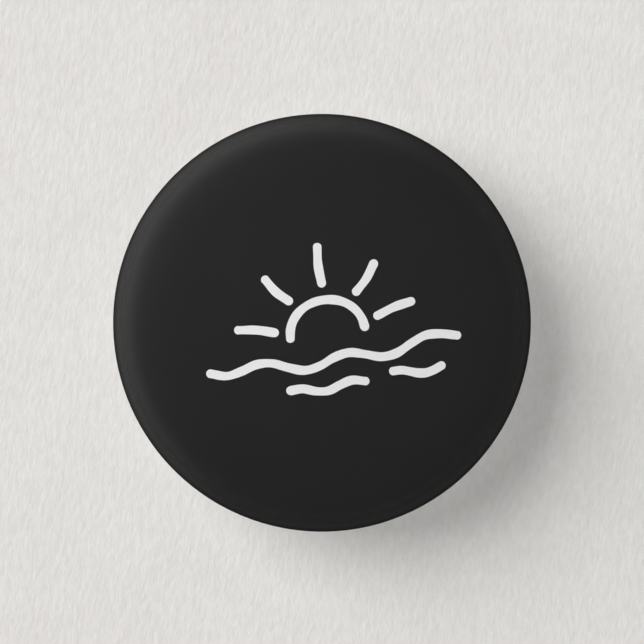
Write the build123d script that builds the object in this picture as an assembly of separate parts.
from build123d import *
import math
import os

# A 32 mm pin-back button badge, standing upright as it is worn.
# The face looks along -Y, the pin is on the +Y side, and +Z is the top of the artwork.
# The origin is the centre of the badge, on the plane of its flat back rim.
# "depth" is the distance in front of that plane, so depth = -y.

# ---- driving dimensions, in millimetres and degrees ----
badge_radius = 16.0
body_depth = 5.0

# front profile: a nearly flat crown, a softer haunch, then the round shoulder
crown_curve = 140.0
crown_edge_radius = 11.2
haunch_curve = 14.0
shoulder_start_radius = 13.4

# rim: the sheet curls round to the back and its flat lip traps the back plate
curl_radius = 0.8
lip_end_radius = 14.3
tuck_end_radius = 14.9

# sheet thicknesses, and the thin gaps that separate the layers
film_thickness = 0.05
paper_thickness = 0.10
shell_thickness = 0.25
plate_thickness = 0.25
film_gap = 0.04
layer_gap = 0.01

# back plate: a dish whose skirt stands inside the shoulder of the shell
plate_floor_depth = 1.3
plate_floor_radius = 12.4
plate_flange_start_radius = 13.2
plate_skirt_radius = 15.1
plate_skirt_depth = 2.4
plate_bend_radius = 0.15

# bridges pushed out of the back plate, which hold the wire down
bridge_spacing = 11.0
bridge_width = 1.8
bridge_foot_half_span = 2.0
bridge_rise_half_span = 1.3
bridge_top_half_span = 0.75
window_half_span = 1.5
window_side_gap = 0.2

# spring wire pin
wire_radius = 0.4
wire_gap = 0.02
wire_line_z = -1.0
coil_x = 10.6
coil_radius = 1.3
coil_pitch = 0.84
coil_turns = 1.5
split_gap = 0.08
needle_rise = 0.25
needle_rise_start_x = 9.0
needle_rise_end_x = 7.4
needle_bend_radius = 2.0
taper_start_x = -10.6
tip_x = -13.0
tip_radius = 0.04
hook_x = -11.5
hook_radius = 0.9
hook_foot_bend = 0.9
hook_lip_angle = 70.0

# ---- places worked out from the driving dimensions ----
paper_offset = film_thickness + film_gap
shell_offset = paper_offset + paper_thickness + layer_gap
tuck_centre_depth = shell_offset + shell_thickness / 2
plate_flange_depth = 2 * tuck_centre_depth + layer_gap

base_wire_y = -plate_floor_depth + wire_gap + wire_radius
coil_y = base_wire_y + coil_radius
coil_top_y = coil_y + coil_radius
needle_y = coil_top_y + needle_rise
needle_z = wire_line_z + (coil_turns + 1) * coil_pitch
hook_z = wire_line_z + hook_radius


def polar(centre, radius, angle):
    """The point at this distance from a (radius, depth) centre, at an angle from straight ahead."""
    return (centre[0] + radius * math.sin(angle), centre[1] + radius * math.cos(angle))


def section_point(point):
    """A (radius, depth) point as a point of the section plane, which holds the Y axis."""
    return (point[0], -point[1])


def section_line(start, end):
    return Line(section_point(start), section_point(end))


def section_arc(centre, radius, start_angle, end_angle):
    """An arc of the section, between two angles measured from straight ahead."""
    middle_angle = (start_angle + end_angle) / 2
    points = [polar(centre, radius, angle) for angle in (start_angle, middle_angle, end_angle)]
    return ThreePointArc(*[section_point(point) for point in points])


def front_profile(offset, lip_wrapped):
    """The section of the front at this distance inside the outermost surface, from centre to rim."""
    crown_centre = (0, body_depth - crown_curve)
    crown_angle = math.asin(crown_edge_radius / crown_curve)
    haunch_centre = polar(crown_centre, crown_curve - haunch_curve, crown_angle)
    haunch_angle = math.asin((shoulder_start_radius - haunch_centre[0]) / haunch_curve)
    shoulder_curve = (badge_radius - shoulder_start_radius) / (1 - math.sin(haunch_angle))
    shoulder_centre = polar(haunch_centre, haunch_curve - shoulder_curve, haunch_angle)
    side_angle = math.pi / 2
    curl_centre = (badge_radius - curl_radius, curl_radius)
    side_radius = badge_radius - offset
    edges = [
        section_arc(crown_centre, crown_curve - offset, 0, crown_angle),
        section_arc(haunch_centre, haunch_curve - offset, crown_angle, haunch_angle),
        section_arc(shoulder_centre, shoulder_curve - offset, haunch_angle, side_angle),
        section_line((side_radius, shoulder_centre[1]), (side_radius, curl_radius)),
        section_arc(curl_centre, curl_radius - offset, side_angle, math.pi),
        section_line((curl_centre[0], offset), (lip_end_radius, offset)),
    ]
    if lip_wrapped:
        tuck_centre = (lip_end_radius, tuck_centre_depth)
        tuck_depth = 2 * tuck_centre_depth - offset
        edges.append(section_arc(tuck_centre, tuck_centre_depth - offset, math.pi, 2 * math.pi))
        edges.append(section_line((lip_end_radius, tuck_depth), (tuck_end_radius, tuck_depth)))
    return edges


def front_layer(outer_offset, thickness, lip_wrapped):
    """One sheet of the front, from its outer surface inwards, turned about the badge's axis."""
    outer = front_profile(outer_offset, lip_wrapped)
    inner = front_profile(outer_offset + thickness, lip_wrapped)
    centre_edge = Line(outer[0] @ 0, inner[0] @ 0)
    rim_edge = Line(outer[-1] @ 1, inner[-1] @ 1)
    section = make_face([*outer, *inner, centre_edge, rim_edge])
    return revolve(section, Axis.Y, 360)


def cover_film():
    return front_layer(0, film_thickness, True)


def artwork_print():
    return front_layer(paper_offset, paper_thickness, True)


def front_shell():
    return front_layer(shell_offset, shell_thickness, False)


def bent_strip(points):
    """The plate's sheet seen edge on: its back side follows the points, with rounded bends."""
    outer_side = FilletPolyline(*points, radius=plate_bend_radius + plate_thickness)
    inner_side = outer_side.offset_2d(plate_thickness, side=Side.RIGHT, closed=False)
    ends = [Line(outer_side @ 0, inner_side @ 0), Line(outer_side @ 1, inner_side @ 1)]
    return make_face([*outer_side.edges(), *inner_side.edges(), *ends])


def plate_dish():
    """The back plate before its bridges are pushed out."""
    points = [
        (0, -plate_floor_depth),
        (plate_floor_radius, -plate_floor_depth),
        (plate_flange_start_radius, -plate_flange_depth),
        (plate_skirt_radius, -plate_flange_depth),
        (plate_skirt_radius, -plate_skirt_depth),
    ]
    return revolve(bent_strip(points), Axis.Y, 360)


def bridge_strap(x):
    """A strap that rises from the plate, crosses over the base wire and comes down again."""
    floor_y = -plate_floor_depth
    top_y = base_wire_y + wire_radius + wire_gap + plate_thickness
    points = [
        (-bridge_foot_half_span, floor_y),
        (-bridge_rise_half_span, floor_y),
        (-bridge_top_half_span, top_y),
        (bridge_top_half_span, top_y),
        (bridge_rise_half_span, floor_y),
        (bridge_foot_half_span, floor_y),
    ]
    strip_plane = Plane(origin=(x, 0, wire_line_z), x_dir=(0, 0, 1), z_dir=(-1, 0, 0))
    return extrude(strip_plane * bent_strip(points), bridge_width / 2, both=True)


def bridge_window(x):
    """The opening that is left in the plate under a bridge."""
    width = bridge_width + 2 * window_side_gap
    height = 4 * plate_thickness
    return Pos(x, -plate_floor_depth, wire_line_z) * Box(width, height, 2 * window_half_span)


def back_plate():
    plate = plate_dish()
    for x in (-bridge_spacing / 2, bridge_spacing / 2):
        plate -= bridge_window(x)
        plate += bridge_strap(x)
    return plate


def wire_along(path):
    """Round wire swept along a smooth path."""
    end_plane = Plane(origin=path @ 0, z_dir=path % 0)
    return sweep(end_plane * Circle(wire_radius), path=path)


def pin_base():
    """The fixed half of the wire: a straight leg under the bridges, and the hook that catches the needle."""
    foot = Plane.XY.offset(wire_line_z)
    hook_plane = Plane(origin=(hook_x, needle_y, hook_z), x_dir=(0, 0, 1), z_dir=(-1, 0, 0))
    leg_start = (coil_x - split_gap, base_wire_y)
    leg_end = (hook_x + hook_foot_bend, base_wire_y)
    bend_centre = (hook_x + hook_foot_bend, base_wire_y + hook_foot_bend)
    post_foot = (hook_x, base_wire_y + hook_foot_bend)
    path = Wire(
        [
            foot * Line(leg_start, leg_end),
            foot * CenterArc(bend_centre, hook_foot_bend, 270, -90),
            foot * Line(post_foot, (hook_x, needle_y)),
            hook_plane * CenterArc((0, 0), hook_radius, 180, hook_lip_angle - 180),
        ]
    )
    rounded_end = Pos(*(path @ 1)) * Sphere(wire_radius)
    return wire_along(path) + rounded_end


def pin_coil():
    """The first turns of the spring, from the end of the straight leg."""
    turns = Helix(coil_pitch, coil_turns * coil_pitch, coil_radius)
    path = Pos(coil_x, coil_y, wire_line_z) * Rot(0, 0, -90) * turns
    return wire_along(path)


def pin_needle():
    """The last turn of the spring as a closed eye, and the needle up to its sharp tip."""
    eye = Pos(coil_x, coil_y, needle_z) * Torus(coil_radius, wire_radius)
    path = FilletPolyline(
        (coil_x, coil_top_y),
        (needle_rise_start_x, coil_top_y),
        (needle_rise_end_x, needle_y),
        (taper_start_x, needle_y),
        radius=needle_bend_radius,
    )
    shank = wire_along(Plane.XY.offset(needle_z) * path)
    taper_length = taper_start_x - tip_x
    taper_centre = Pos((taper_start_x + tip_x) / 2, needle_y, needle_z)
    taper = taper_centre * Rot(0, -90, 0) * Cone(wire_radius, tip_radius, taper_length)
    return eye + shank + taper


pieces = {
    "cover_film": cover_film,
    "artwork_print": artwork_print,
    "front_shell": front_shell,
    "back_plate": back_plate,
    "pin_base": pin_base,
    "pin_coil": pin_coil,
    "pin_needle": pin_needle,
}

os.makedirs("parts", exist_ok=True)
for name, make_piece in pieces.items():
    export_step(make_piece(), f"parts/{name}.step")
